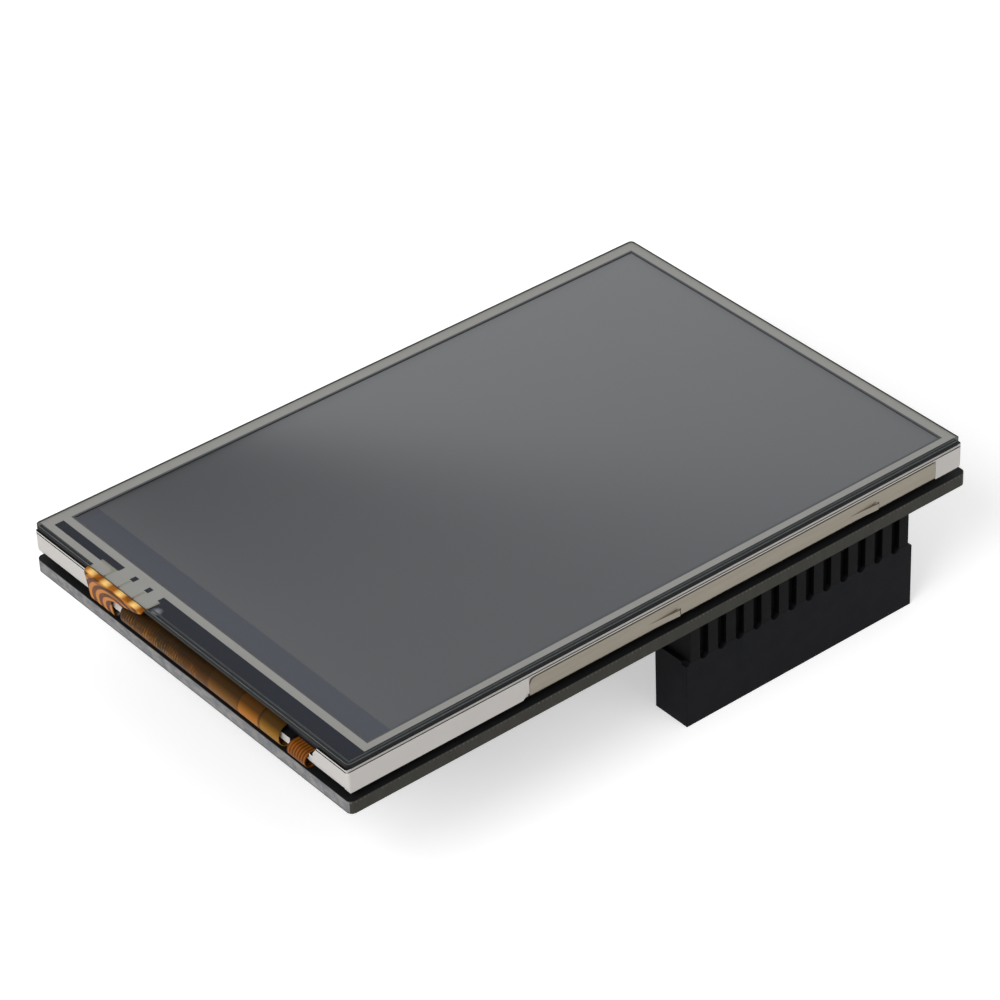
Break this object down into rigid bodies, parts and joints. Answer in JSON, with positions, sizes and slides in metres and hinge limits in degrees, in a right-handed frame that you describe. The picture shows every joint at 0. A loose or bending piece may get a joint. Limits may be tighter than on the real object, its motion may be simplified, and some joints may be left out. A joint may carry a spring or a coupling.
{
  "type": "tft display module",
  "caption": "Small colour touch display on a bare circuit board, with a raised two-row pin socket under one long edge that plugs onto a pin header.",
  "frame": {"origin": "centre of the pin socket's mating face, at the bottom of the socket block", "axes": "+Z is the way the screen faces, away from the board that the socket plugs onto; +X runs along the board's long edge, from the end where the flex circuits fold over to the end with the socket; +Y runs from the board's socket edge to its other long edge"},
  "size_m": [0.0859, 0.0556, 0.0197],
  "materials": {
    "touch_film": "clear hard-coated plastic film",
    "silver_ink": "printed silver ink, satin",
    "dark_adhesive": "dark adhesive",
    "touch_glass": "clear, dark at its cut edges",
    "amber_flex": "amber polyimide over copper tracks",
    "dark_flex": "dark brown polyimide over copper tracks",
    "polarizer": "dark grey anti-glare film",
    "cell_glass": "display glass",
    "chip_silicon": "bare silicon",
    "black_tape": "black tape",
    "optical_film": "milky optical film",
    "clear_acrylic": "clear acrylic",
    "reflector": "white reflector film",
    "led_body": "white body with yellow phosphor",
    "frame_plastic": "off-white moulded plastic",
    "shell_steel": "thin pressed steel",
    "foam": "black closed-cell foam tape",
    "board": "black solder mask over glass-fibre board",
    "header_plastic": "black moulded plastic",
    "contact_metal": "thin gold plate",
    "solder": "bright solder",
    "chip_black": "black moulding compound",
    "tinned_lead": "matt tin",
    "capacitor_ceramic": "tan ceramic",
    "resistor_black": "black glaze"
  },
  "bodies": {
    "root": {"touch_film": "touch_film", "touch_electrodes": "silver_ink", "touch_spacer": "dark_adhesive", "touch_glass": "touch_glass", "touch_tail": "amber_flex", "touch_gasket": "black_tape", "front_polarizer": "polarizer", "color_filter_glass": "cell_glass", "tft_glass": "cell_glass", "rear_polarizer": "polarizer", "driver_chip": "chip_silicon", "display_flex": "dark_flex", "rim_tape": "black_tape", "prism_film_upper": "optical_film", "prism_film_lower": "optical_film", "diffuser_film": "optical_film", "light_guide": "clear_acrylic", "reflector_sheet": "reflector", "backlight_flex": "amber_flex", "backlight_leds": "led_body", "backlight_frame": "frame_plastic", "steel_shell": "shell_steel", "foam_tapes": "foam", "circuit_board": "board", "header_socket": "header_plastic", "header_spacer": "header_plastic", "header_contacts": "contact_metal", "solder_joints": "solder", "logic_chip_1": "chip_black", "logic_chip_2": "chip_black", "logic_chip_3": "chip_black", "logic_chip_4": "chip_black", "logic_chip_leads": "tinned_lead", "touch_controller": "chip_black", "touch_controller_leads": "tinned_lead", "transistor": "chip_black", "transistor_leads": "tinned_lead", "chip_resistors": "resistor_black", "chip_capacitors": "capacitor_ceramic", "chip_terminals": "tinned_lead"}
  },
  "joints": []
}
